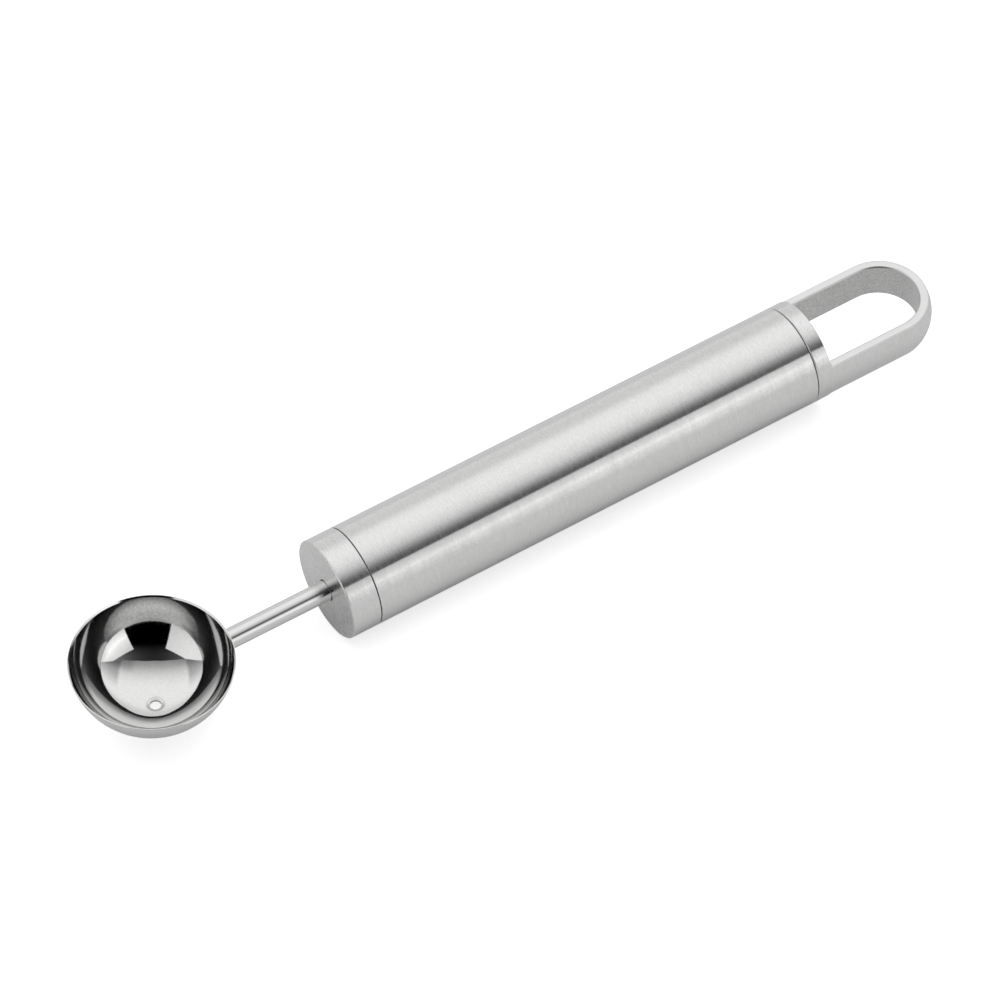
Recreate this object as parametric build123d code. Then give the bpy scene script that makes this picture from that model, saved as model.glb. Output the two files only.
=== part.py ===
from build123d import *
from math import asin, cos, degrees, radians, sin, sqrt
import os

# A melon baller: a pressed scoop on a rod, a tubular handle closed by two caps, and a hanging
# loop milled in one piece with the back cap. Every length is in millimetres.
#
# X runs along the handle from the scoop to the loop, Y runs across it and Z points up. The
# origin is under the middle of the tool, on the surface that the handle lies on.

# Handle tube
handle_diameter = 20.0
tube_length = 97.2
tube_wall = 1.0
seam_chamfer = 0.26

# Spigots of both caps, bonded inside the tube
spigot_length = 8.0
spigot_clearance = 0.05
spigot_lead_in = 0.5

# Front cap, with a cup at its back for the stem's nut
front_cap_length = 6.0
face_chamfer = 0.25
front_web = 8.0
nut_cup_diameter = 12.0

# Stem, a round rod with a flat on the stretch inside the handle
stem_diameter = 4.0
stem_flat_depth = 0.4
stem_mouth_length = 2.0
stem_mouth_clearance = 0.15
stem_clearance = 0.05
thread_diameter = 3.9
thread_overhang = 1.0
thread_chamfer = 0.4

# Washer and nut on the stem's tail
washer_diameter = 9.0
washer_thickness = 0.8
nut_width = 7.0
nut_height = 3.2
nut_corner_bevel = 0.3
fastener_clearance = 0.05

# Scoop, a spherical cup shallower than half a ball
scoop_outer_radius = 15.7
scoop_wall = 0.45
scoop_centre_rise = 2.9
scoop_distance = 36.95
scoop_height = 5.0
scoop_tilt = 2.1
rim_land = 0.12
rim_bevel_depth = 0.3
weld_gap = 0.02

# Drain hole in the scoop's floor, a little to the near side of its lowest point
drain_diameter = 2.2
drain_countersink = 3.2
drain_countersink_depth = 0.28
drain_offset = 0.8

# Hanging loop
collar_length = 3.1
arm_width = 2.5
slot_straight = 17.5
loop_thickness = 8.0
loop_edge_radius = 0.2
back_cup_diameter = 12.0
back_cup_depth = 6.0

# One overrun serves all cuts
overrun = 1.0

handle_radius = handle_diameter / 2
tube_bore_radius = handle_radius - tube_wall
spigot_radius = tube_bore_radius - spigot_clearance
stem_radius = stem_diameter / 2
thread_radius = thread_diameter / 2
rim_radius = sqrt(scoop_outer_radius**2 - scoop_centre_rise**2)
scoop_inner_radius = scoop_outer_radius - scoop_wall
slot_width = handle_diameter - 2 * arm_width

# Places along X. The front face is set so that the scoop's tip and the loop's end lie equally
# far from the origin.
scoop_reach = scoop_distance + rim_radius * cos(radians(scoop_tilt))
handle_length = front_cap_length + tube_length + collar_length + slot_straight + handle_radius
front_face = (scoop_reach - handle_length) / 2
front_seam = front_face + front_cap_length
back_seam = front_seam + tube_length
slot_start = back_seam + collar_length
loop_centre = slot_start + slot_straight
washer_seat = front_face + front_web
nut_seat = washer_seat + washer_thickness
tail_end = nut_seat + nut_height + thread_overhang

# The ball centre of the scoop, in the scoop's own frame and in the part's
axis_height = handle_radius
scoop_place = Pos(front_face - scoop_distance, 0, axis_height + scoop_height) * Rot(0, scoop_tilt, 0)
ball_place = scoop_place * Pos(0, 0, scoop_centre_rise)


def turned(corners):
    """A solid turned about the handle's axis, from the (x, radius) corners of its half section."""
    section = make_face(Polyline(*corners, close=True))
    return Pos(0, 0, axis_height) * revolve(section, Axis.X)


def rod(start, end, radius):
    """A plain round rod on the handle's axis."""
    return turned([(start, 0), (start, radius), (end, radius), (end, 0)])


def flatted_rod(start, end, radius, depth):
    """A rod on the handle's axis, with a flat on its top side that is depth below a full round."""
    reach = radius - depth
    block = Box(end - start, 2 * radius, radius + reach, align=(Align.MIN, Align.CENTER, Align.MIN))
    return rod(start, end, radius) & Pos(start, 0, axis_height - radius) * block


def handle_tube():
    """The straight tube, its ends broken where they meet the caps."""
    return turned([
        (front_seam, tube_bore_radius),
        (front_seam, handle_radius - seam_chamfer),
        (front_seam + seam_chamfer, handle_radius),
        (back_seam - seam_chamfer, handle_radius),
        (back_seam, handle_radius - seam_chamfer),
        (back_seam, tube_bore_radius),
    ])


def front_cap():
    """The front plug: a disc, a spigot with the nut's cup, and the stem's hole."""
    spigot_end = front_seam + spigot_length
    plug = turned([
        (front_face, 0),
        (front_face, handle_radius - face_chamfer),
        (front_face + face_chamfer, handle_radius),
        (front_seam - seam_chamfer, handle_radius),
        (front_seam, handle_radius - seam_chamfer),
        (front_seam, spigot_radius),
        (spigot_end - spigot_lead_in, spigot_radius),
        (spigot_end, spigot_radius - spigot_lead_in),
        (spigot_end, nut_cup_diameter / 2),
        (washer_seat, nut_cup_diameter / 2),
        (washer_seat, 0),
    ])
    mouth_radius = stem_radius + stem_mouth_clearance
    mouth = rod(front_face - overrun, front_face + stem_mouth_length, mouth_radius)
    bore_radius = stem_radius + stem_clearance
    keyed_bore = flatted_rod(front_face, washer_seat + overrun, bore_radius, stem_flat_depth)
    return plug - mouth - keyed_bore


def stem():
    """The rod from the scoop's wall to the nut, its front end shaped to the scoop."""
    flat_start = front_face + stem_mouth_length
    rod_start = front_face - scoop_distance + scoop_centre_rise
    round_part = rod(rod_start, flat_start, stem_radius)
    round_part -= ball_place * Sphere(scoop_outer_radius + weld_gap)
    keyed_part = flatted_rod(flat_start, washer_seat, stem_radius, stem_flat_depth)
    tail = turned([
        (washer_seat, 0),
        (washer_seat, thread_radius),
        (tail_end - thread_chamfer, thread_radius),
        (tail_end, thread_radius - thread_chamfer),
        (tail_end, 0),
    ])
    tail &= flatted_rod(washer_seat, tail_end, stem_radius, stem_flat_depth)
    return round_part + keyed_part + tail


def stem_washer():
    """The washer between the cap's web and the nut."""
    blank = rod(washer_seat, nut_seat, washer_diameter / 2)
    return blank - rod(washer_seat - overrun, nut_seat + overrun, stem_radius + fastener_clearance)


def stem_nut():
    """The hexagon nut, its corners bevelled on both faces."""
    corner_radius = nut_width / sqrt(3)
    nut_end = nut_seat + nut_height
    outline = extrude(RegularPolygon(corner_radius, 6), nut_height)
    hexagon = Pos(nut_seat, 0, axis_height) * Rot(0, 90, 0) * outline
    envelope = turned([
        (nut_seat, 0),
        (nut_seat, corner_radius - nut_corner_bevel),
        (nut_seat + nut_corner_bevel, corner_radius),
        (nut_end - nut_corner_bevel, corner_radius),
        (nut_end, corner_radius - nut_corner_bevel),
        (nut_end, 0),
    ])
    bore = rod(nut_seat - overrun, nut_end + overrun, thread_radius + fastener_clearance)
    return (hexagon & envelope) - bore


def cup_arc(radius, top):
    """An arc about the ball's centre, from the scoop's lowest point up to the height top."""
    rise = scoop_centre_rise - top
    middle = asin(sqrt(radius**2 - rise**2) / radius) / 2
    return ThreePointArc(
        (0, scoop_centre_rise - radius),
        (radius * sin(middle), scoop_centre_rise - radius * cos(middle)),
        (sqrt(radius**2 - rise**2), top),
    )


def drain():
    """The drain hole and its countersink, square to the scoop's floor."""
    floor = -scoop_inner_radius
    hole = Cylinder(drain_diameter / 2, 2 * overrun + scoop_wall)
    sink_slope = (drain_countersink - drain_diameter) / 2 / drain_countersink_depth
    sink_top = drain_countersink / 2 + sink_slope * overrun
    sink_height = drain_countersink_depth + overrun
    sink = Cone(drain_diameter / 2, sink_top, sink_height, align=(Align.CENTER, Align.CENTER, Align.MIN))
    cutter = Pos(0, 0, floor) * hole + Pos(0, 0, floor - drain_countersink_depth) * sink
    swing = degrees(asin(drain_offset / scoop_inner_radius))
    return ball_place * Rot(-swing, 0, 0) * cutter


def scoop_bowl():
    """The pressed cup: two arcs about one ball centre, a narrow land and an inner bevel."""
    outside = cup_arc(scoop_outer_radius, 0)
    inside = cup_arc(scoop_inner_radius, -rim_bevel_depth)
    land = Line(outside @ 1, (rim_radius - rim_land, 0))
    bevel = Line(land @ 1, inside @ 1)
    floor = Line(inside @ 0, outside @ 0)
    section = make_face([outside, land, bevel, inside, floor])
    cup = revolve(Plane.XZ * section, Axis.Z)
    return scoop_place * cup - drain()


def flat_cutter():
    """What is milled off above the loop, from the collar to the loop's end, down to its flat."""
    half = loop_thickness / 2
    reach = handle_radius + overrun
    block = Box(slot_straight + reach, 2 * reach, reach - half, align=(Align.MIN, Align.CENTER, Align.MIN))
    return Pos(slot_start, 0, half) * block


def slot_cutter():
    """The slot through the loop: square at the collar, round at its far end."""
    depth = handle_diameter + 2 * overrun
    square = Box(slot_straight, slot_width, depth, align=(Align.MIN, Align.CENTER, Align.CENTER))
    rounded = Cylinder(slot_width / 2, depth)
    return Pos(slot_start, 0, 0) * square + Pos(loop_centre, 0, 0) * rounded


def loop_rims(loop):
    """The edges where the flats meet the loop's outside and its slot."""
    rims = []
    for edge in loop.edges():
        middle = edge @ 0.5
        past_centre = max(middle.X - loop_centre, 0)
        height = abs(middle.Z - axis_height)
        ball_reach = Vector(past_centre, middle.Y, height).length
        slot_reach = Vector(past_centre, middle.Y, 0).length
        on_outside = abs(ball_reach - handle_radius) < loop_edge_radius
        in_slot = abs(slot_reach - slot_width / 2) < loop_edge_radius
        past_collar = middle.X > slot_start + loop_edge_radius
        on_a_flat = height > loop_thickness / 2 - loop_edge_radius
        if (on_outside or in_slot) and past_collar and on_a_flat:
            rims.append(edge)
    return rims


def hanging_loop():
    """The back cap: spigot, collar and the loop, whose end is part of a ball."""
    spigot_end = back_seam - spigot_length
    blank = turned([
        (spigot_end, back_cup_diameter / 2),
        (spigot_end, spigot_radius - spigot_lead_in),
        (spigot_end + spigot_lead_in, spigot_radius),
        (back_seam, spigot_radius),
        (back_seam, handle_radius - seam_chamfer),
        (back_seam + seam_chamfer, handle_radius),
        (loop_centre, handle_radius),
        (loop_centre, 0),
        (spigot_end + back_cup_depth, 0),
        (spigot_end + back_cup_depth, back_cup_diameter / 2),
    ])
    blank += Pos(loop_centre, 0, axis_height) * Sphere(handle_radius)
    upper = flat_cutter()
    cuts = upper + mirror(upper, Plane.XY) + slot_cutter()
    loop = blank - Pos(0, 0, axis_height) * cuts
    return fillet(loop_rims(loop), loop_edge_radius)


os.makedirs("parts", exist_ok=True)
for build_piece in (scoop_bowl, stem, front_cap, stem_washer, stem_nut, handle_tube, hanging_loop):
    export_step(build_piece(), f"parts/{build_piece.__name__}.step")
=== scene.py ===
from math import acos, asin, atan2, cos, exp, hypot, pi, radians, sin, sqrt

import bmesh
import bpy
from bpy.props import FloatProperty, FloatVectorProperty, IntProperty, PointerProperty
from mathutils import Matrix, Vector


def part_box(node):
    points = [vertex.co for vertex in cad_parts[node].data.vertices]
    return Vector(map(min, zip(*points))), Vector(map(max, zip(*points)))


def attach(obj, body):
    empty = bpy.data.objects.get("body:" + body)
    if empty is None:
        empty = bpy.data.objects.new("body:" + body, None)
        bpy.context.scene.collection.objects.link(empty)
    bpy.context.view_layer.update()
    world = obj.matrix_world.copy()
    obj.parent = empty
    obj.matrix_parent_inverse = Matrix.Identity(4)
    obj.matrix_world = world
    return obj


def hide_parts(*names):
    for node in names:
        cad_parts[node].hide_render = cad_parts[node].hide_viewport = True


bl_info = {
    "name": "Melon baller",
    "version": (1, 0, 0),
    "blender": (4, 5, 0),
    "location": "3D View > Sidebar > Melon baller",
    "description": "Dresses the packed melon baller in polished and satin steel, in a white studio",
    "category": "Object",
}

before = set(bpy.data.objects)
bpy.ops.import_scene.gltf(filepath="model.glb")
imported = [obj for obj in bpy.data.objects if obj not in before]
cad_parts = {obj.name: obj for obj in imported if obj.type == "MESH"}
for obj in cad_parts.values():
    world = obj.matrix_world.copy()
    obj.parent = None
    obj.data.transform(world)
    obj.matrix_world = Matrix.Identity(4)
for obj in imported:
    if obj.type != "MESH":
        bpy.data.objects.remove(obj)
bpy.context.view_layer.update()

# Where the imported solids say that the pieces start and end
CAP_LOW, CAP_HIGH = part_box("front_cap")
TUBE_LOW, TUBE_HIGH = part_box("handle_tube")
LOOP_LOW, LOOP_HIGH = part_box("hanging_loop")
STEM_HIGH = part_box("stem")[1]
WASHER_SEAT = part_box("stem_washer")[0].x
AXIS_HEIGHT = (TUBE_LOW.z + TUBE_HIGH.z) / 2
HANDLE_RADIUS = TUBE_HIGH.y
STEM_RADIUS, STEM_END = STEM_HIGH.y, STEM_HIGH.x
FRONT_FACE = CAP_LOW.x
FRONT_SEAM, BACK_SEAM = TUBE_LOW.x, TUBE_HIGH.x
LOOP_CENTRE = LOOP_HIGH.x - HANDLE_RADIUS

# Local Z of every turned piece lies along the handle, so that its brushing runs round the handle
HANDLE_PLACE = Matrix.Translation((0, 0, AXIS_HEIGHT)) @ Matrix.Rotation(pi / 2, 4, "Y")

MM = 0.001


class HandleSizes(bpy.types.PropertyGroup):
    seam_chamfer: FloatProperty(
        name="Seam chamfer", description="Broken edge of each cap at its seam",
        default=0.16 * MM, unit="LENGTH")
    seam_slit: FloatProperty(
        name="Seam slit", description="Dark slit between the tube and the front cap",
        default=0.12 * MM, unit="LENGTH")
    back_slit: FloatProperty(
        name="Back slit", description="Dark slit between the tube and the collar",
        default=0.25 * MM, unit="LENGTH")
    edge_round: FloatProperty(
        name="Edge rounding", description="Softening of the turned edges",
        default=0.06 * MM, unit="LENGTH")
    face_chamfer: FloatProperty(
        name="Face chamfer", description="Broken edge round the front face",
        default=0.25 * MM, unit="LENGTH")
    tube_wall: FloatProperty(
        name="Tube wall", description="Wall of the handle tube",
        default=1.0 * MM, unit="LENGTH")
    spigot_gap: FloatProperty(
        name="Spigot gap", description="Room between a spigot and the tube's bore",
        default=0.05 * MM, unit="LENGTH")
    spigot_lead_in: FloatProperty(
        name="Spigot lead-in", description="Chamfer on the end of a spigot",
        default=0.5 * MM, unit="LENGTH")
    cup_radius: FloatProperty(
        name="Cup radius", description="Hollow in the end of each spigot",
        default=6.0 * MM, unit="LENGTH")
    slices: IntProperty(
        name="Slices", description="Faces round a turned piece", default=320, min=48)


class StemSizes(bpy.types.PropertyGroup):
    mouth_gap: FloatProperty(
        name="Mouth gap", description="Room round the stem where it enters the front face",
        default=0.2 * MM, unit="LENGTH")
    mouth_depth: FloatProperty(
        name="Mouth depth", description="Depth of the wider mouth in the front face",
        default=2.0 * MM, unit="LENGTH")
    bore_gap: FloatProperty(
        name="Bore gap", description="Room round the stem inside the cap",
        default=0.05 * MM, unit="LENGTH")
    tail_chamfer: FloatProperty(
        name="Tail chamfer", description="Broken edge on the stem's tail",
        default=0.4 * MM, unit="LENGTH")
    tail_taper: FloatProperty(
        name="Tail taper", description="How much thinner the tail is than the rod, on each side",
        default=0.05 * MM, unit="LENGTH")
    weld_reach: FloatProperty(
        name="Weld reach", description="How far the rod's front end reaches into the scoop's wall",
        default=0.05 * MM, unit="LENGTH")
    outer_ring: FloatProperty(
        name="Outer ring", description="How far before the front face the rod has a ring of corners",
        default=2.0 * MM, unit="LENGTH")
    slices: IntProperty(name="Slices", description="Faces round the stem", default=128, min=24)


class ScoopSizes(bpy.types.PropertyGroup):
    outer_radius: FloatProperty(
        name="Outer radius", description="Radius of the ball that the outside is part of",
        default=15.7 * MM, unit="LENGTH")
    inner_radius: FloatProperty(
        name="Inner radius", description="Radius of the ball that the inside is part of",
        default=15.4 * MM, unit="LENGTH")
    inner_rise: FloatProperty(
        name="Inner rise", description="Height over the rim of the inner ball's centre, which is a "
        "little above the outer one's, so that the wall thins towards the rim",
        default=3.0 * MM, unit="LENGTH")
    flattening: FloatProperty(
        name="Flattening", description="How far the floor stands above the inner ball",
        default=0.28 * MM, unit="LENGTH")
    flat_reach: FloatProperty(
        name="Flattened reach", description="How far from the middle the floor is flattened",
        default=4.5 * MM, unit="LENGTH")
    centre_rise: FloatProperty(
        name="Centre rise", description="Height of the ball's centre over the rim",
        default=2.9 * MM, unit="LENGTH")
    distance: FloatProperty(
        name="Distance", description="From the front face to the middle of the rim",
        default=36.95 * MM, unit="LENGTH")
    height: FloatProperty(
        name="Height", description="Middle of the rim over the handle's axis",
        default=5.0 * MM, unit="LENGTH")
    tilt: FloatProperty(
        name="Tilt", description="Lean of the rim towards the handle",
        default=radians(2.1), subtype="ANGLE")
    rim_land: FloatProperty(
        name="Rim land", description="Width of the flat ground on the rim",
        default=0.15 * MM, unit="LENGTH")
    rim_round: FloatProperty(
        name="Rim rounding", description="Softening of the rim's outer edge",
        default=0.03 * MM, unit="LENGTH")
    bevel_depth: FloatProperty(
        name="Bevel depth", description="Depth of the bevel inside the rim",
        default=0.3 * MM, unit="LENGTH")
    drain_radius: FloatProperty(
        name="Drain radius", description="Radius of the hole in the floor",
        default=1.1 * MM, unit="LENGTH")
    sink_radius: FloatProperty(
        name="Countersink radius", description="Radius of the countersink's mouth",
        default=1.78 * MM, unit="LENGTH")
    sink_depth: FloatProperty(
        name="Countersink depth", description="Depth of the countersink at the hole",
        default=0.14 * MM, unit="LENGTH")
    drain_offset: FloatProperty(
        name="Drain offset", description="How far the hole lies to the near side",
        default=0.8 * MM, unit="LENGTH")
    slices: IntProperty(
        name="Slices", description="Faces round the scoop", default=288, min=48)
    rings: IntProperty(
        name="Rings", description="Faces from the drain hole up to the rim", default=96, min=16)


class LoopSizes(bpy.types.PropertyGroup):
    collar: FloatProperty(
        name="Collar", description="From the back seam to the slot", default=3.1 * MM, unit="LENGTH")
    arm_width: FloatProperty(
        name="Arm width", description="Widest metal beside the slot", default=2.5 * MM, unit="LENGTH")
    thickness: FloatProperty(
        name="Thickness", description="Between the two milled flats", default=8.0 * MM, unit="LENGTH")
    corner_round: FloatProperty(
        name="Corner rounding", description="Hollow corner of each flat at the collar",
        default=0.6 * MM, unit="LENGTH")
    collar_edge: FloatProperty(
        name="Collar edge", description="Broken edge of the collar over the flats",
        default=0.1 * MM, unit="LENGTH")
    edge_round: FloatProperty(
        name="Edge rounding", description="Softening of the flats' outer edges",
        default=0.2 * MM, unit="LENGTH")
    slot_round: FloatProperty(
        name="Slot rounding", description="Softening of the slot's edges",
        default=0.4 * MM, unit="LENGTH")
    cup_depth: FloatProperty(
        name="Cup depth", description="Depth of the hollow in the spigot",
        default=6.0 * MM, unit="LENGTH")


class SteelFinish(bpy.types.PropertyGroup):
    polished: FloatVectorProperty(
        name="Polished", description="Colour of the mirror polished scoop",
        subtype="COLOR", min=0, max=1, default=(0.77, 0.77, 0.765))
    satin: FloatVectorProperty(
        name="Satin", description="Colour of the brushed handle",
        subtype="COLOR", min=0, max=1, default=(0.79, 0.79, 0.785))
    plain: FloatVectorProperty(
        name="Plain", description="Colour of the washer and the nut",
        subtype="COLOR", min=0, max=1, default=(0.62, 0.62, 0.62))
    polish_roughness: FloatProperty(
        name="Polish roughness", description="Roughness inside the scoop",
        default=0.045, min=0, max=1, subtype="FACTOR")
    brush_roughness: FloatProperty(
        name="Brush roughness", description="Roughness of the turned and brushed handle",
        default=0.2, min=0, max=1, subtype="FACTOR")


class Studio(bpy.types.PropertyGroup):
    camera_place: FloatVectorProperty(
        name="Camera place", description="Where the camera stands", subtype="TRANSLATION",
        default=(-0.34541, -0.56430, 0.87400))
    camera_turn: FloatVectorProperty(
        name="Camera turn", description="How the camera is turned", subtype="EULER",
        default=(radians(37.4017), radians(0.6377), radians(-32.1000)))
    lens: FloatProperty(
        name="Lens", description="Focal length in millimetres on a 36 mm sensor", default=209.36)
    floor_side: FloatProperty(
        name="Floor side", description="Side of the square floor", default=8.0, unit="LENGTH")
    floor_colour: FloatVectorProperty(
        name="Floor colour", description="Colour of the floor",
        subtype="COLOR", min=0, max=1, default=(0.7, 0.7, 0.7))
    floor_glow: FloatProperty(
        name="Floor glow", description="Light that the floor adds for the camera", default=0.65)
    mirrored_glow: FloatProperty(
        name="Mirrored glow", description="Share of that glow which steel reflects", default=0.05)
    fill: FloatProperty(
        name="Fill", description="Light from overhead that reaches the floor alone", default=0.8)
    fill_spread: FloatProperty(
        name="Fill spread", description="Angle over which that light is spread",
        default=radians(70), subtype="ANGLE")


# The middle of a noise's range
NOISE_LOW, NOISE_HIGH = 0.3, 0.7


class Signal:
    """A number or vector that leaves a node. Arithmetic on it adds Math nodes to its tree."""

    def __init__(self, shader, socket):
        self.shader = shader
        self.socket = socket

    def math(self, operation, *values):
        """The result of one Math node that takes the values in order."""
        return self.shader.node("Math", {"operation": operation}, dict(enumerate(values)))

    def __add__(self, other):
        return self.math("ADD", self, other)

    def __sub__(self, other):
        return self.math("SUBTRACT", self, other)

    def __rsub__(self, other):
        return self.math("SUBTRACT", other, self)

    def __mul__(self, other):
        return self.math("MULTIPLY", self, other)

    def __truediv__(self, other):
        return self.math("DIVIDE", self, other)

    def __neg__(self):
        return self.math("MULTIPLY", self, -1)

    def __abs__(self):
        return self.math("ABSOLUTE", self)

    __radd__ = __add__
    __rmul__ = __mul__

    def above(self, least):
        """This number, or least where it is lower."""
        return self.math("MAXIMUM", self, least)

    def fade(self, start, end, low=0.0, high=1.0):
        """Low before start, high after end and smooth between them."""
        settings = {"interpolation_type": "SMOOTHSTEP", "clamp": True}
        values = {"Value": self, "From Min": start, "From Max": end, "To Min": low, "To Max": high}
        return self.shader.node("MapRange", settings, values)

    def spread(self, low, high):
        """Low to high over the middle of a noise's range, where nearly all of it lies."""
        return self.fade(NOISE_LOW, NOISE_HIGH, low, high)

    def positive(self, blur):
        """1 where this number is over 0 and 0 where it is under 0, with a blurred border."""
        return self.fade(-blur, blur)

    def dot(self, direction):
        """How far this vector reaches in a direction."""
        values = {0: self, 1: direction}
        return self.shader.node("VectorMath", {"operation": "DOT_PRODUCT"}, values, "Value")

    def stretched(self, scale):
        """This vector with each axis scaled by its own number."""
        return self.shader.node("VectorMath", {"operation": "MULTIPLY"}, {0: self, 1: scale})


class Shader:
    """The node tree of one material or of the world, built from nothing."""

    def __init__(self, owner):
        owner.use_nodes = True
        self.tree = owner.node_tree
        self.tree.nodes.clear()

    def node(self, kind, settings=None, values=None, output=0):
        """Adds a node: its settings first, then the values or links of its sockets."""
        node = self.tree.nodes.new("ShaderNode" + kind)
        for name, setting in (settings or {}).items():
            if name == "stops":
                self.set_stops(node.color_ramp, setting)
            else:
                setattr(node, name, setting)
        for name, value in (values or {}).items():
            if isinstance(value, Signal):
                self.tree.links.new(value.socket, node.inputs[name])
            elif value is not None:
                node.inputs[name].default_value = value
        if output is None:
            return node
        return Signal(self, node.outputs[output])

    @staticmethod
    def set_stops(ramp, stops):
        """Puts grey stops of (place, brightness) on a ramp."""
        ramp.interpolation = "LINEAR"
        while len(ramp.elements) < len(stops):
            ramp.elements.new(1.0)
        for element, (place, brightness) in zip(ramp.elements, stops):
            element.position = place
            element.color = (brightness, brightness, brightness, 1)

    def ramp(self, signal, stops):
        """A grey ramp through (place, brightness) stops."""
        return self.node("ValToRGB", {"stops": stops}, {"Fac": signal})

    def blend(self, amount, first, second):
        """The number first, going over to the number second as amount goes from 0 to 1."""
        values = {0: amount, 2: first, 3: second}
        return self.node("Mix", {"data_type": "FLOAT"}, values)

    def tint(self, amount, first, second):
        """The colour first, going over to the colour second as amount goes from 0 to 1."""
        values = {0: amount, 6: (*first, 1), 7: (*second, 1)}
        return self.node("Mix", {"data_type": "RGBA"}, values, "Result")

    def noise(self, place, scale, detail=2.0, roughness=0.5):
        """Noise from 0 to 1 with its own number of cells to the metre along each axis."""
        values = {
            "Vector": place.stretched(scale), "Scale": 1.0, "Detail": detail, "Roughness": roughness}
        return self.node("TexNoise", {"noise_dimensions": "3D"}, values, "Fac")

    def bump(self, height, distance):
        """The normal of a surface that rises by distance where height goes from 0 to 1."""
        values = {"Strength": 1.0, "Distance": distance, "Height": height}
        return self.node("Bump", {}, values, "Normal")

    def show_steel(self, colour, roughness, normal=None, **constants):
        """Ends the tree in bare metal."""
        values = {"Base Color": colour, "Roughness": roughness, "Metallic": 1.0, "Normal": normal}
        values.update({name.replace("_", " "): value for name, value in constants.items()})
        surface = self.node("BsdfPrincipled", {}, values)
        self.node("OutputMaterial", {}, {"Surface": surface}, None)


def new_shader(name):
    """A named material and the shader that builds its nodes."""
    material = bpy.data.materials.new(name)
    return material, Shader(material)


def new_steel(name):
    """A named material, the shader that builds its nodes, and the place of each point on it."""
    material, shader = new_shader(name)
    return material, shader, shader.node("TexCoord", output="Object")


def toned(colour, share):
    """The colour with its light scaled to a share, which may be over 1."""
    return tuple(channel * share for channel in colour)


def handle_brushing(finish):
    """Satin steel with fine brush lines round the handle."""
    material, shader, place = new_steel("brushed_round_handle")
    lines = shader.noise(place, (600, 600, 3000), detail=3.0)
    speckle = shader.noise(place, (1900, 1900, 3000), detail=3.0, roughness=0.6)
    broad = shader.noise(place, (60, 60, 900))
    colour = shader.tint(
        lines * 0.5 + speckle * 0.5, toned(finish.satin, 0.77), toned(finish.satin, 1.2))
    smooth, rough = finish.brush_roughness * 0.85, finish.brush_roughness * 1.15
    roughness = (lines * 0.5 + broad * 0.5).spread(smooth, rough)
    normal = shader.bump(lines * 0.7 + speckle * 0.3, 5e-6)
    shader.show_steel(colour, roughness, normal, Anisotropic=1.0, Anisotropic_Rotation=0.25)
    return material


def faced_end(finish):
    """The front face, ground with fine streaks that run up and down."""
    material, shader, place = new_steel("ground_front_face")
    streaks = shader.noise(place, (400, 2600, 2600), detail=3.0)
    cloud = shader.noise(place, (140, 300, 300))
    # Painted shade: this satin is toned about a ninth darker than the handle's, for the dimmer face.
    colour = shader.tint(
        streaks * 0.7 + cloud * 0.3, toned(finish.satin, 0.68), toned(finish.satin, 1.06))
    roughness = streaks.spread(0.25, 0.31)
    shader.show_steel(colour, roughness, shader.bump(streaks, 6e-6))
    return material


def stem_polish(finish):
    """Drawn rod, polished round: clear across the rod and stretched along it."""
    material, shader, place = new_steel("polished_round_stem")
    fine = shader.noise(place, (400, 400, 4200), detail=3.0)
    colour = shader.tint(fine, toned(finish.polished, 0.95), toned(finish.polished, 1.03))
    roughness = fine.spread(0.14, 0.18)
    normal = shader.bump(fine, 6e-7)
    shader.show_steel(colour, roughness, normal, Anisotropic=0.9, Anisotropic_Rotation=0.25)
    return material


def milled_flat(finish):
    """Even satin of the milled flats and the slot."""
    material, shader, place = new_steel("milled_satin")
    grain = shader.noise(place, (2600, 2600, 2600), detail=3.0)
    cloud = shader.noise(place, (160, 160, 160))
    colour = shader.tint(
        grain * 0.7 + cloud * 0.3, toned(finish.satin, 0.92), toned(finish.satin, 1.06))
    roughness = grain.spread(0.3, 0.36)
    shader.show_steel(colour, roughness, shader.bump(grain, 3e-6))
    return material


def slot_wall(finish):
    """The slot's wall, left grainy by its cutter."""
    material, shader, place = new_steel("grainy_slot")
    grain = shader.noise(place, (2600, 2600, 2600), detail=3.0, roughness=0.6)
    colour = shader.tint(grain, toned(finish.satin, 0.45), toned(finish.satin, 1.33))
    shader.show_steel(colour, grain.spread(0.3, 0.4), shader.bump(grain, 1.2e-5))
    return material


def scoop_mirror(finish, sizes):
    """Mirror polish with the faint unevenness of pressed sheet, rougher on the steep wall, where its
    colour is also darkened as painted shade.
    """
    material, shader, place = new_steel("mirror_polish")
    scoop = scoop_place(sizes)
    axis = scoop.to_3x3() @ Vector((0, 0, 1))
    under_rim = scoop.translation.dot(axis) - place.dot(axis)
    wall_end, floor_start = 3.8 * MM, 8.0 * MM
    steep = under_rim.fade(wall_end, floor_start, 1.0, 0.0)
    swell = shader.noise(place, (150, 150, 150))
    haze = shader.noise(place, (2200, 2200, 2200), detail=3.0)
    # Painted shade: the steep wall's colour is darkened, on top of the sheet's real haze.
    haze_and_wall_shade = (haze - 0.5) * (steep * 0.8 + 0.4) - steep * 0.5 + 0.65
    colour = shader.tint(haze_and_wall_shade, toned(finish.polished, 0.7), toned(finish.polished, 1.13))
    dull = finish.polish_roughness * 1.6
    roughness = shader.blend(steep, finish.polish_roughness, dull) * haze.spread(0.85, 1.15)
    normal = shader.bump(swell, 3.5e-5)
    shader.show_steel(colour, roughness, normal)
    return material


def scoop_outside(finish):
    """The scoop's outside, satin from its polishing wheel."""
    material, shader, place = new_steel("satin_outside")
    grain = shader.noise(place, (1800, 1800, 2600), detail=3.0)
    colour = shader.tint(grain, toned(finish.satin, 0.9), toned(finish.satin, 1.05))
    roughness = grain.spread(0.3, 0.38)
    shader.show_steel(colour, roughness, shader.bump(grain, 2e-6))
    return material


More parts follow.
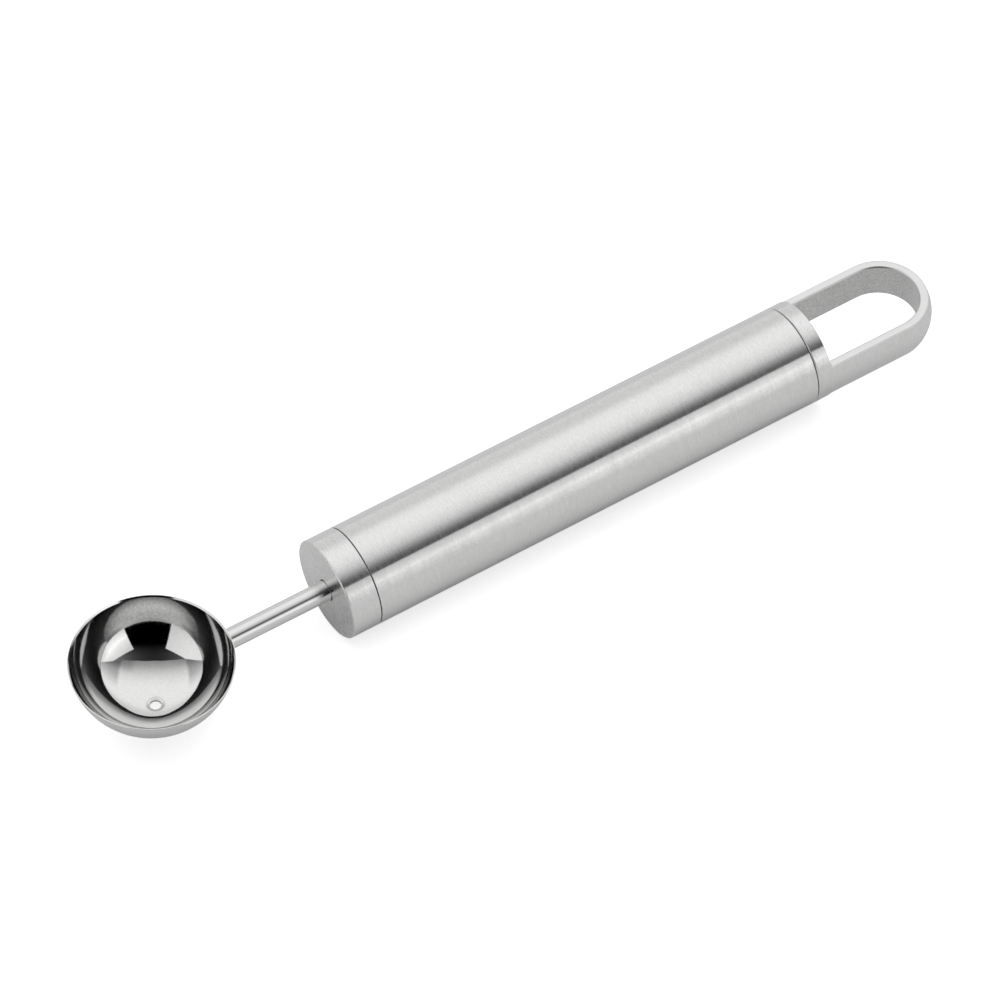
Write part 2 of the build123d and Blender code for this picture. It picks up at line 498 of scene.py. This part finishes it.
def ground_rim(finish):
    """The ground and honed rim of the scoop."""
    material, shader, place = new_steel("ground_rim")
    grain = shader.noise(place, (3000, 3000, 3000))
    colour = shader.tint(grain, toned(finish.polished, 0.96), toned(finish.polished, 1.02))
    shader.show_steel(colour, grain.spread(0.1, 0.14), shader.bump(grain, 4e-7))
    return material


def plain_fastener(finish):
    """Unpolished washer and nut, slightly mottled."""
    material, shader, place = new_steel("plain_fastener")
    mottle = shader.noise(place, (900, 900, 900), detail=3.0)
    colour = shader.tint(mottle, toned(finish.plain, 0.88), toned(finish.plain, 1.08))
    shader.show_steel(colour, mottle.spread(0.38, 0.5), shader.bump(mottle, 2e-6))
    return material


def rounded(corners, steps=4):
    """A closed outline in which each (along, out, rounding) corner is a small arc."""
    outline = []
    for number, (along, out, rounding) in enumerate(corners):
        corner = Vector((along, out))
        if not rounding:
            outline.append(corner)
            continue
        before = Vector(corners[number - 1][:2]) - corner
        after = Vector(corners[(number + 1) % len(corners)][:2]) - corner
        start = corner + before.normalized() * rounding
        end = corner + after.normalized() * rounding
        for step in range(steps + 1):
            share = step / steps
            outline.append(start.lerp(corner, share).lerp(corner.lerp(end, share), share))
    return outline


def joined_rings(mesh, rings, materials=None):
    """Faces between each ring of corners and the next, and from the last to the first."""
    count = len(rings[0])
    for number, (here, there) in enumerate(zip(rings, rings[1:] + rings[:1])):
        for corner in range(count):
            around = [here[corner], here[corner - 1], there[corner - 1], there[corner]]
            around = list(dict.fromkeys(around))
            if len(around) > 2:
                face = mesh.faces.new(around)
                face.material_index = materials[number] if materials else 0


def turned(outline, slices):
    """A solid turned about its own Z axis from a closed outline of (along, out) points."""
    mesh = bmesh.new()
    rings = []
    for along, out in outline:
        if out <= 0:
            rings.append([mesh.verts.new((0, 0, along))] * slices)
            continue
        turns = [2 * pi * number / slices for number in range(slices)]
        rings.append([mesh.verts.new((out * cos(turn), out * sin(turn), along)) for turn in turns])
    joined_rings(mesh, rings)
    return mesh


def add_piece(name, mesh, place, materials, replaced, sharp=radians(30)):
    """Makes a piece of a finished mesh, which stands for a CAD node and moves with its body."""
    bmesh.ops.recalc_face_normals(mesh, faces=mesh.faces)
    data = bpy.data.meshes.new(name)
    mesh.to_mesh(data)
    mesh.free()
    data.shade_smooth()
    data.set_sharp_from_angle(angle=sharp)
    for material in materials:
        data.materials.append(material)
    piece = bpy.data.objects.new(name, data)
    bpy.context.scene.collection.objects.link(piece)
    piece.matrix_world = place
    weighting = piece.modifiers.new("even_normals", "WEIGHTED_NORMAL")
    weighting.keep_sharp = True
    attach(piece, "root")
    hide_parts(replaced)


class MELON_BALLER_OT_handle_tube(bpy.types.Operator):
    """Adds the brushed tube, its ends broken where they meet the caps"""

    bl_idname = "melon_baller.handle_tube"
    bl_label = "Handle tube"

    def execute(self, context):
        sizes = context.scene.handle_sizes
        bore = HANDLE_RADIUS - sizes.tube_wall
        start, end = FRONT_SEAM + sizes.seam_slit, BACK_SEAM - sizes.back_slit
        outline = rounded([
            (start, bore, 0),
            (start, HANDLE_RADIUS, sizes.edge_round),
            (end, HANDLE_RADIUS, sizes.edge_round),
            (end, bore, 0),
        ])
        mesh = turned(outline, sizes.slices)
        steel = handle_brushing(context.scene.steel_finish)
        add_piece("brushed_tube", mesh, HANDLE_PLACE, [steel], "handle_tube")
        return {"FINISHED"}


class MELON_BALLER_OT_front_cap(bpy.types.Operator):
    """Adds the turned plug that closes the tube's front and holds the stem"""

    bl_idname = "melon_baller.front_cap"
    bl_label = "Front cap"

    def execute(self, context):
        sizes = context.scene.handle_sizes
        stem_sizes = context.scene.stem_sizes
        mouth = STEM_RADIUS + stem_sizes.mouth_gap
        bore = STEM_RADIUS + stem_sizes.bore_gap
        mouth_end = FRONT_FACE + stem_sizes.mouth_depth
        spigot = HANDLE_RADIUS - sizes.tube_wall - sizes.spigot_gap
        spigot_end = CAP_HIGH.x
        chamfer, soft = sizes.seam_chamfer, sizes.edge_round
        outline = rounded([
            (FRONT_FACE, mouth, soft),
            (FRONT_FACE, HANDLE_RADIUS - sizes.face_chamfer, soft),
            (FRONT_FACE + sizes.face_chamfer, HANDLE_RADIUS, soft),
            (FRONT_SEAM - chamfer, HANDLE_RADIUS, soft),
            (FRONT_SEAM, HANDLE_RADIUS - chamfer, soft),
            (FRONT_SEAM, spigot, 0),
            (spigot_end - sizes.spigot_lead_in, spigot, 0),
            (spigot_end, spigot - sizes.spigot_lead_in, 0),
            (spigot_end, sizes.cup_radius, 0),
            (WASHER_SEAT, sizes.cup_radius, 0),
            (WASHER_SEAT, bore, 0),
            (mouth_end, bore, 0),
            (mouth_end, mouth, 0),
        ])
        mesh = turned(outline, sizes.slices)
        face_edge = FRONT_FACE + sizes.face_chamfer / 2
        for face in mesh.faces:
            face.material_index = int(face.calc_center_median().z < face_edge)
        finish = context.scene.steel_finish
        steels = [handle_brushing(finish), faced_end(finish)]
        add_piece("turned_cap", mesh, HANDLE_PLACE, steels, "front_cap")
        return {"FINISHED"}


def scoop_place(sizes):
    """The scoop's own frame: the middle of its rim, Z up out of its mouth."""
    middle = Vector((FRONT_FACE - sizes.distance, 0, AXIS_HEIGHT + sizes.height))
    return Matrix.Translation(middle) @ Matrix.Rotation(sizes.tilt, 4, "Y")


class MELON_BALLER_OT_stem(bpy.types.Operator):
    """Adds the rod, its front end shaped to the scoop"""

    bl_idname = "melon_baller.stem"
    bl_label = "Stem"

    def execute(self, context):
        sizes = context.scene.stem_sizes
        scoop = context.scene.scoop_sizes
        slices = sizes.slices
        ball = scoop_place(scoop) @ Vector((0, 0, scoop.centre_rise))
        reach = scoop.outer_radius - sizes.weld_reach
        mesh = bmesh.new()
        rings = []

        def joint(across, height):
            """Where the rod's line at this place in its section meets the scoop."""
            rise = AXIS_HEIGHT + height - ball.z
            return ball.x + sqrt(reach**2 - across**2 - rise**2)

        turns = [2 * pi * number / slices for number in range(slices)]
        rings.append([mesh.verts.new((0, 0, joint(0, 0)))] * slices)
        front = []
        for turn in turns:
            down, across = STEM_RADIUS * cos(turn), STEM_RADIUS * sin(turn)
            front.append(mesh.verts.new((down, across, joint(across, -down))))
        rings.append(front)
        for along, out in (
            (FRONT_FACE - sizes.outer_ring, STEM_RADIUS),
            (WASHER_SEAT, STEM_RADIUS),
            (STEM_END - sizes.tail_chamfer, STEM_RADIUS - sizes.tail_taper),
            (STEM_END, STEM_RADIUS - sizes.tail_chamfer),
        ):
            ring = [mesh.verts.new((out * cos(turn), out * sin(turn), along)) for turn in turns]
            rings.append(ring)
        rings.append([mesh.verts.new((0, 0, STEM_END))] * slices)
        joined_rings(mesh, rings)
        steel = stem_polish(context.scene.steel_finish)
        add_piece("polished_stem", mesh, HANDLE_PLACE, [steel], "stem")
        return {"FINISHED"}


class MELON_BALLER_OT_scoop_bowl(bpy.types.Operator):
    """Adds the pressed scoop with its ground rim and countersunk drain hole"""

    bl_idname = "melon_baller.scoop_bowl"
    bl_label = "Scoop bowl"

    def execute(self, context):
        sizes = context.scene.scoop_sizes
        outer, inner = sizes.outer_radius, sizes.inner_radius
        outer_centre = Vector((0, 0, sizes.centre_rise))
        inner_centre = Vector((0, 0, sizes.inner_rise))
        swing = asin(sizes.drain_offset / inner)
        down = Vector((0, -sin(swing), -cos(swing)))
        aside = Vector((1, 0, 0))
        across = down.cross(aside)
        mesh = bmesh.new()
        outwards = []
        for number in range(sizes.slices):
            turn = 2 * pi * number / sizes.slices
            outwards.append(aside * cos(turn) + across * sin(turn))

        def rim_swing(centre, out, radius, height):
            """The angle from the drain up to where the ball of this radius reaches a height."""
            level = (height - centre.z) / radius
            return atan2(out.z, down.z) - acos(level / hypot(down.z, out.z))

        def ball_rings(centre, radius, mouth, height):
            """Rings on a ball about the centre, from the drain's mouth up to a height."""
            start = asin(mouth / radius)
            rings = []
            for ring in range(sizes.rings + 1):
                share = ring / sizes.rings
                corners = []
                for out in outwards:
                    angle = start + (rim_swing(centre, out, radius, height) % (2 * pi) - start) * share
                    spot = centre + (down * cos(angle) + out * sin(angle)) * radius
                    corners.append(mesh.verts.new(spot))
                rings.append(corners)
            return rings

        def rim_ring(over, radius, height):
            """A ring of the rim, each corner beside the same corner of the ring that it is over."""
            corners = []
            for corner in over:
                place = Vector((corner.co.x, corner.co.y)).normalized() * radius
                corners.append(mesh.verts.new((place.x, place.y, height)))
            return corners

        rim = sqrt(outer**2 - sizes.centre_rise**2)
        soft = sizes.rim_round
        inside = ball_rings(inner_centre, inner, sizes.sink_radius, -sizes.bevel_depth)
        outside = ball_rings(outer_centre, outer, sizes.drain_radius, -soft)
        land_out = rim_ring(outside[-1], rim - soft, 0)
        land_in = rim_ring(inside[-1], rim - sizes.rim_land, 0)
        depth = inner + sizes.sink_depth
        sink = [
            mesh.verts.new(inner_centre + down * depth + out * sizes.drain_radius) for out in outwards]
        for corner in [corner for ring in (*inside, sink) for corner in ring]:
            away = hypot(corner.co.x, corner.co.y) / sizes.flat_reach
            corner.co.z += sizes.flattening * exp(-away**2)
        rings = [*inside, land_in, land_out, *outside[::-1], sink]
        mirror, satin, ground = 0, 1, 2
        materials = (
            [mirror] * (len(inside) - 1) + [ground] * 3
            + [satin] * (len(outside) - 1) + [satin, satin])
        joined_rings(mesh, rings, materials)
        finish = context.scene.steel_finish
        steels = [scoop_mirror(finish, sizes), scoop_outside(finish), ground_rim(finish)]
        mesh.transform(scoop_place(sizes))
        add_piece(
            "pressed_scoop", mesh, Matrix(), steels, "scoop_bowl", sharp=radians(12))
        return {"FINISHED"}


# How finely the loop is divided, and the corner of its section where the outside begins
WALL_STEPS, SOFT_STEPS, SIDE_STEPS = 3, 4, 12
SIDE_CORNER = WALL_STEPS + 2 * SOFT_STEPS + 1
CORNER_STEPS, ARM_STEPS, BEND_STEPS, LID_STEPS = 8, 12, 96, 64

# Over how many steps the collar's broken edge runs out beside an arm
RUN_OUT_STEPS = 6


def arm_section(sizes, flat):
    """The section of one arm whose flat lies at this height, as (out, height) points that run
    from the middle of the slot's wall over the flat and round the outside."""
    inner = HANDLE_RADIUS - sizes.arm_width
    soft = sizes.edge_round
    bend = sizes.slot_round
    wall = [(inner, (flat - bend) * number / WALL_STEPS) for number in range(1, WALL_STEPS + 1)]
    inner_edge = []
    for number in range(1, SOFT_STEPS + 1):
        turn = pi / 2 * number / SOFT_STEPS
        inner_edge.append((inner + bend * (1 - cos(turn)), flat - bend * (1 - sin(turn))))
    outer = sqrt(HANDLE_RADIUS**2 - flat**2)
    corner, on_flat = Vector((outer, flat)), Vector((outer - soft, flat))
    side = asin(flat / HANDLE_RADIUS) - soft / HANDLE_RADIUS
    on_side = Vector((HANDLE_RADIUS * cos(side), HANDLE_RADIUS * sin(side)))
    outer_edge = []
    for number in range(SOFT_STEPS + 1):
        share = number / SOFT_STEPS
        outer_edge.append(tuple(on_flat.lerp(corner, share).lerp(corner.lerp(on_side, share), share)))
    outside = []
    for number in range(1, SIDE_STEPS + 1):
        turn = side * (1 - number / SIDE_STEPS)
        outside.append((HANDLE_RADIUS * cos(turn), HANDLE_RADIUS * sin(turn)))
    upper = wall + inner_edge + outer_edge + outside
    lower = [(out, -height) for out, height in upper[-2::-1]]
    return [(inner, 0), *upper, *lower]


class MELON_BALLER_OT_hanging_loop(bpy.types.Operator):
    """Adds the back cap: spigot, collar and the milled loop"""

    bl_idname = "melon_baller.hanging_loop"
    bl_label = "Hanging loop"

    def execute(self, context):
        sizes = context.scene.loop_sizes
        handle = context.scene.handle_sizes
        slot_start = BACK_SEAM + sizes.collar
        half = sizes.thickness / 2
        hollow = sizes.corner_round
        flat_start = slot_start + hollow

        # Stations along one arm: up the hollow corner at the collar, then to the loop's centre
        stations = []
        for number in range(CORNER_STEPS):
            turn = pi / 2 * (1 - number / CORNER_STEPS)
            stations.append((flat_start - hollow * sin(turn), half + hollow * (1 - cos(turn))))
        for number in range(ARM_STEPS + 1):
            stations.append((flat_start + (LOOP_CENTRE - flat_start) * number / ARM_STEPS, half))

        mesh = bmesh.new()
        near_arm, far_arm, bend = [], [], []
        for along, flat in stations:
            section = arm_section(sizes, flat)
            near_arm.append([mesh.verts.new((-height, -out, along)) for out, height in section])
            far_arm.append([mesh.verts.new((-height, out, along)) for out, height in section])
        for number in range(1, BEND_STEPS):
            turn = pi * number / BEND_STEPS
            bend.append([
                mesh.verts.new((-height, -out * cos(turn), LOOP_CENTRE + out * sin(turn)))
                for out, height in section])
        rings = near_arm + bend + far_arm[::-1]
        flat_steel, side_steel, wall_steel = 0, 1, 2
        count = len(section)
        side_start, side_end = SIDE_CORNER, count - SIDE_CORNER
        strips = [flat_steel] * count
        for corner in range(count):
            if side_start < corner <= side_end:
                strips[corner] = side_steel
            elif corner <= WALL_STEPS or corner > count - WALL_STEPS:
                strips[corner] = wall_steel
        for here, there in zip(rings, rings[1:]):
            for corner in range(count):
                before = corner - 1
                face = mesh.faces.new([here[corner], here[before], there[before], there[corner]])
                face.material_index = strips[corner]

        # The collar's edge: over the flats it is broken, beside them it is the arms' outside
        near = near_arm[0][side_start:side_end + 1]
        far = far_arm[0][side_start:side_end + 1]
        spread = atan2(-near[0].co.x, -near[0].co.y)
        over, under = [], []
        for number in range(1, LID_STEPS):
            turn = spread + (pi - 2 * spread) * number / LID_STEPS
            share = min(1, number / RUN_OUT_STEPS, (LID_STEPS - number) / RUN_OUT_STEPS)
            edge = HANDLE_RADIUS - sizes.collar_edge * share
            height, out = edge * sin(turn), edge * cos(turn)
            over.append(mesh.verts.new((-height, out, slot_start)))
            under.append(mesh.verts.new((height, out, slot_start)))
        ring = around = [*far[::-1], *over, *near, *under[::-1]]
        chamfer, soft = handle.seam_chamfer, handle.edge_round
        spigot = HANDLE_RADIUS - handle.tube_wall - handle.spigot_gap
        spigot_end = LOOP_LOW.x
        outline = rounded([
            (slot_start + sizes.collar_edge, HANDLE_RADIUS, 0),
            (slot_start - sizes.collar_edge, HANDLE_RADIUS, 0),
            (BACK_SEAM + chamfer, HANDLE_RADIUS, soft),
            (BACK_SEAM, HANDLE_RADIUS - chamfer, soft),
            (BACK_SEAM, spigot, 0),
            (spigot_end + handle.spigot_lead_in, spigot, 0),
            (spigot_end, spigot - handle.spigot_lead_in, 0),
            (spigot_end, handle.cup_radius, 0),
            (spigot_end + sizes.cup_depth, handle.cup_radius, 0),
        ])
        for along, out in outline[1:]:
            next_ring = []
            for vert in around:
                aside = Vector((vert.co.x, vert.co.y)).normalized() * out
                next_ring.append(mesh.verts.new((aside.x, aside.y, along)))
            for corner in range(len(around)):
                before = corner - 1
                face = mesh.faces.new([ring[corner], ring[before], next_ring[before], next_ring[corner]])
                face.material_index = side_steel
            ring = next_ring
        mesh.faces.new(ring)

        # The collar's end face, which is also the slot's end wall, closes what is still open
        open_edges = [edge for edge in mesh.edges if edge.is_boundary]
        bmesh.ops.contextual_create(mesh, geom=open_edges)
        finish = context.scene.steel_finish
        steels = [milled_flat(finish), handle_brushing(finish), slot_wall(finish)]
        add_piece("milled_loop", mesh, HANDLE_PLACE, steels, "hanging_loop")
        return {"FINISHED"}


class MELON_BALLER_OT_fasteners(bpy.types.Operator):
    """Gives the washer and the nut inside the handle their plain steel"""

    bl_idname = "melon_baller.fasteners"
    bl_label = "Washer and nut"

    def execute(self, context):
        steel = plain_fastener(context.scene.steel_finish)
        for name in ("stem_washer", "stem_nut"):
            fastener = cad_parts[name]
            fastener.data.materials.clear()
            fastener.data.materials.append(steel)
        return {"FINISHED"}


# Level directions of the studio, from the tool to the camera's side and to its right
CAMERA_SIDE = radians(31.27)
TO_CAMERA = Vector((-sin(CAMERA_SIDE), -cos(CAMERA_SIDE), 0))
TO_RIGHT = Vector((cos(CAMERA_SIDE), -sin(CAMERA_SIDE), 0))

# Brightness of the overhead diffuser from its far edge to its near one, by lean
OVERHEAD = [
    (0.07, 0.75), (0.18, 0.76), (0.21, 0.80), (0.24, 0.97), (0.27, 1.035), (0.35, 1.045),
    (0.386, 1.03), (0.423, 0.99), (0.46, 0.92), (0.50, 0.81), (0.536, 0.67), (0.576, 0.47),
    (0.618, 0.32),
]

# Brightness of the right card by height
RIGHT_WHITE = [
    (0.0, 0.88), (0.116, 0.94), (0.245, 1.04), (0.33, 1.17), (0.371, 1.28), (0.42, 1.09),
    (0.489, 0.93), (0.571, 0.83), (0.64, 0.73),
]

# How white the steel sees the floor, and how blurred the cards' upper edges are
FLOOR_WHITE = 0.8
CARD_BLUR = 0.008

# Width of the camera's sensor in millimetres
SENSOR_WIDTH = 36.0


def studio_world():
    """White for the camera. Steel sees a large overhead diffuser, two white cards on the
    camera's side and the dark room between them."""
    world = bpy.data.worlds.new("studio")
    bpy.context.scene.world = world
    shader = Shader(world)
    ray = shader.node("TexCoord", output="Generated")
    right, near, up = ray.dot(TO_RIGHT), ray.dot(TO_CAMERA), ray.dot((0, 0, 1))
    lean = near.math("ARCTAN2", near, up) / pi + 0.5
    overhead = shader.ramp(lean, OVERHEAD)
    width = abs(right)
    beside = (width - up).fade(-0.05, 0.1) * (near + up * 0.3).fade(-0.3, 0.15)
    corner = (right - up * 0.4).fade(0.0, 0.25) * (near + up * 0.05).fade(0.0, 0.2)
    overhead = overhead * (1 - beside * 0.45) * (1 - corner * 0.25)

    # Past the diffuser's front edge: lens-dark room with a little light near the edge
    past_edge = near - up * 0.405 + (width - up * 1.05).above(0) * 0.2
    in_front = past_edge.fade(-0.008, 0.012)
    spill = width * width / (up * up + 0.02) * 0.12 + 0.025
    spill = spill * (near - up * 1.15).fade(-0.55, 0.0, 1.0, 0.0)

    def card(side, lean, height, inner_edge, inner_blur):
        """1 on a white card and 0 off it: under its leaning upper edge, outside its inner one."""
        under_top = near + side * lean - up * height
        outside = side * inner_edge - near
        return under_top.positive(CARD_BLUR) * outside.positive(inner_blur)

    right_card = card(right, lean=0.6, height=1.25, inner_edge=1.257, inner_blur=0.01)
    left_card = card(-right, lean=0.653, height=1.09, inner_edge=2.19, inner_blur=0.02)
    outwards = right - near
    right_white = shader.ramp(up, RIGHT_WHITE) * outwards.fade(-0.4, 0.3, 0.98, 1.08)
    right_white = right_white * outwards.fade(0.5, 0.9, 1.0, 0.8)
    left_white = (-right - near).fade(-0.8, 0.6, 0.76, 0.98)
    front = shader.blend(right_card, spill, right_white)
    front = shader.blend(left_card, front, left_white)
    sky = shader.blend(in_front, overhead, front)
    clear = in_front * (1 - left_card) * up.fade(0.0, 0.12)
    low = up.fade(0.05, 0.34, 1.0, 0.0) * (1 - clear)
    studio = shader.blend(low, sky, FLOOR_WHITE)

    seen = shader.node("LightPath", output="Is Camera Ray")
    strength = shader.blend(seen, studio, 1.0)
    light = shader.node("Background", {}, {"Color": (1, 1, 1, 1), "Strength": strength})
    shader.node("OutputWorld", {}, {"Surface": light}, None)


class MELON_BALLER_OT_studio(bpy.types.Operator):
    """Sets up the camera, the pale floor and the soft white studio"""

    bl_idname = "melon_baller.studio"
    bl_label = "Studio"

    def execute(self, context):
        scene = context.scene
        studio = scene.studio
        scene.view_settings.view_transform = "Standard"
        studio_world()

        lens = bpy.data.cameras.new("camera")
        lens.lens = studio.lens
        lens.sensor_width = SENSOR_WIDTH
        camera = bpy.data.objects.new("camera", lens)
        scene.collection.objects.link(camera)
        camera.location = studio.camera_place
        camera.rotation_euler = studio.camera_turn
        scene.camera = camera

        fill = bpy.data.lights.new("fill", "SUN")
        fill.energy = studio.fill
        fill.angle = studio.fill_spread
        lamp = bpy.data.objects.new("fill", fill)
        lamp.visible_glossy = False
        scene.collection.objects.link(lamp)

        half = studio.floor_side / 2
        mesh = bpy.data.meshes.new("floor")
        corners = [(-half, -half, 0), (half, -half, 0), (half, half, 0), (-half, half, 0)]
        mesh.from_pydata(corners, [], [(0, 1, 2, 3)])
        material, shader = new_shader("pale_floor")
        path = shader.node("LightPath", {}, {}, None)
        seen = Signal(shader, path.outputs["Is Camera Ray"])
        glossy = Signal(shader, path.outputs["Is Glossy Ray"])
        clear = Signal(shader, path.outputs["Is Transmission Ray"])
        glow = (seen + (glossy + clear) * studio.mirrored_glow) * studio.floor_glow
        colour = (*studio.floor_colour, 1)
        surface = shader.node("BsdfDiffuse", {}, {"Color": colour})
        light = shader.node("Emission", {}, {"Color": (1, 1, 1, 1), "Strength": glow})
        both = shader.node("AddShader", {}, {0: surface, 1: light})
        shader.node("OutputMaterial", {}, {"Surface": both}, None)
        mesh.materials.append(material)
        floor = bpy.data.objects.new("floor", mesh)
        scene.collection.objects.link(floor)
        return {"FINISHED"}


PIECES = (
    MELON_BALLER_OT_scoop_bowl,
    MELON_BALLER_OT_stem,
    MELON_BALLER_OT_front_cap,
    MELON_BALLER_OT_handle_tube,
    MELON_BALLER_OT_hanging_loop,
    MELON_BALLER_OT_fasteners,
    MELON_BALLER_OT_studio,
)


class MELON_BALLER_PT_panel(bpy.types.Panel):
    """Lists the pieces and the stage"""

    bl_idname = "MELON_BALLER_PT_panel"
    bl_label = "Melon baller"
    bl_space_type = "VIEW_3D"
    bl_region_type = "UI"
    bl_category = "Melon baller"

    def draw(self, context):
        for piece in PIECES:
            self.layout.operator(piece.bl_idname)


GROUPS = {
    "handle_sizes": HandleSizes,
    "stem_sizes": StemSizes,
    "scoop_sizes": ScoopSizes,
    "loop_sizes": LoopSizes,
    "steel_finish": SteelFinish,
    "studio": Studio,
}


def register():
    for each in (*GROUPS.values(), *PIECES, MELON_BALLER_PT_panel):
        bpy.utils.register_class(each)
    for name, group in GROUPS.items():
        setattr(bpy.types.Scene, name, PointerProperty(type=group))


def unregister():
    for name in GROUPS:
        delattr(bpy.types.Scene, name)
    for each in (MELON_BALLER_PT_panel, *PIECES[::-1], *reversed(GROUPS.values())):
        bpy.utils.unregister_class(each)


def main():
    register()
    bpy.ops.melon_baller.studio()
    bpy.ops.melon_baller.scoop_bowl()
    bpy.ops.melon_baller.stem()
    bpy.ops.melon_baller.front_cap()
    bpy.ops.melon_baller.handle_tube()
    bpy.ops.melon_baller.hanging_loop()
    bpy.ops.melon_baller.fasteners()


if __name__ == "__main__":
    main()
